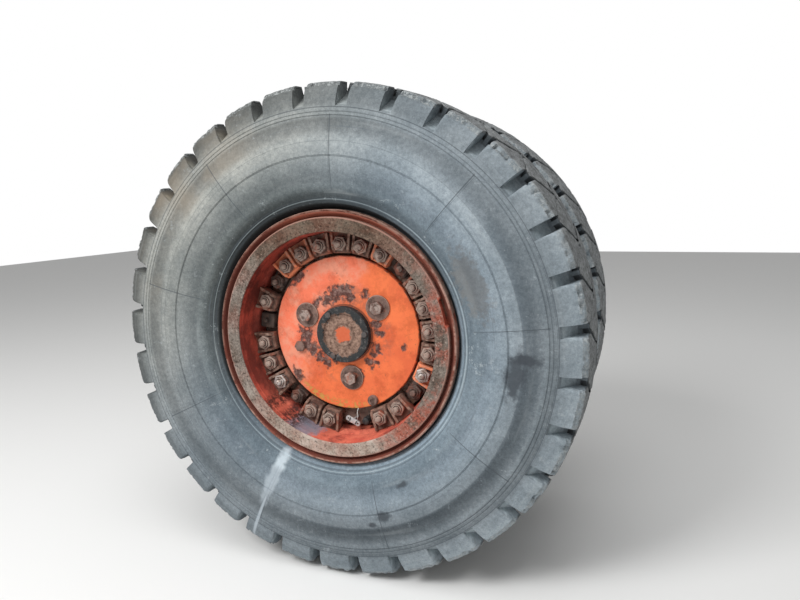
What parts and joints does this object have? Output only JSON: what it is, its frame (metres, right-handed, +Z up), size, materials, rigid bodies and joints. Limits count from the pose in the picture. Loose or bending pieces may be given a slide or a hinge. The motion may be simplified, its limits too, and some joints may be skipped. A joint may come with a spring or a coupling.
{
  "type": "rear dual wheel end of a rigid dump truck",
  "caption": "Dual lugged tyres on clamped rims round a planetary hub, turning on a hollow spindle with a bolted axle flange.",
  "frame": {"origin": "centre of the spindle flange's mating face, on the wheel's axis", "axes": "+Y along the wheel's axis towards the vehicle, +Z up, outer side of the wheel towards -Y"},
  "size_m": [1.8824, 1.309, 1.8824],
  "materials": {
    "tyre_rubber": "worn, dusty",
    "rim_paint": "faded orange, rusty",
    "hub_paint": "faded orange, worn",
    "cap_paint": "black, rusty",
    "rusty_steel": "rusty",
    "cast_iron": "rough, oily",
    "fastener_steel": "tarnished",
    "valve_rubber": "matt"
  },
  "bodies": {
    "axle_end": {"spindle": "cast_iron", "brake_shield": "rim_paint"},
    "wheel": {"outer_tyre": "tyre_rubber", "inner_tyre": "tyre_rubber", "outer_rim_base": "rim_paint", "outer_rim_side_flange": "rim_paint", "outer_rim_lock_ring": "rusty_steel", "inner_rim": "rim_paint", "spacer_band": "rusty_steel", "hub": "cast_iron", "wedge_clamps": "rusty_steel", "clamp_nuts": "fastener_steel", "bare_studs": "fastener_steel", "stop_pad": "cast_iron", "valve_stem": "valve_rubber", "valve_bracket": "fastener_steel", "hub_cover": "hub_paint", "cover_bolts": "fastener_steel", "centre_cap": "cap_paint", "cover_plugs": "fastener_steel"},
    "drive_shaft": {"drive_shaft": "fastener_steel"}
  },
  "joints": [
    {"name": "wheel_spin", "type": "hinge", "parent": "axle_end", "child": "wheel", "pos_m": [0, -0.9, 0], "axis": [0, 1, 0], "continuous": true},
    {"name": "shaft_spin", "type": "hinge", "parent": "axle_end", "child": "drive_shaft", "pos_m": [0, -0.3, 0], "axis": [0, 1, 0], "continuous": true}
  ],
  "couplings": [
    {"joint": "shaft_spin", "follows": "wheel_spin", "ratio": 6}
  ]
}
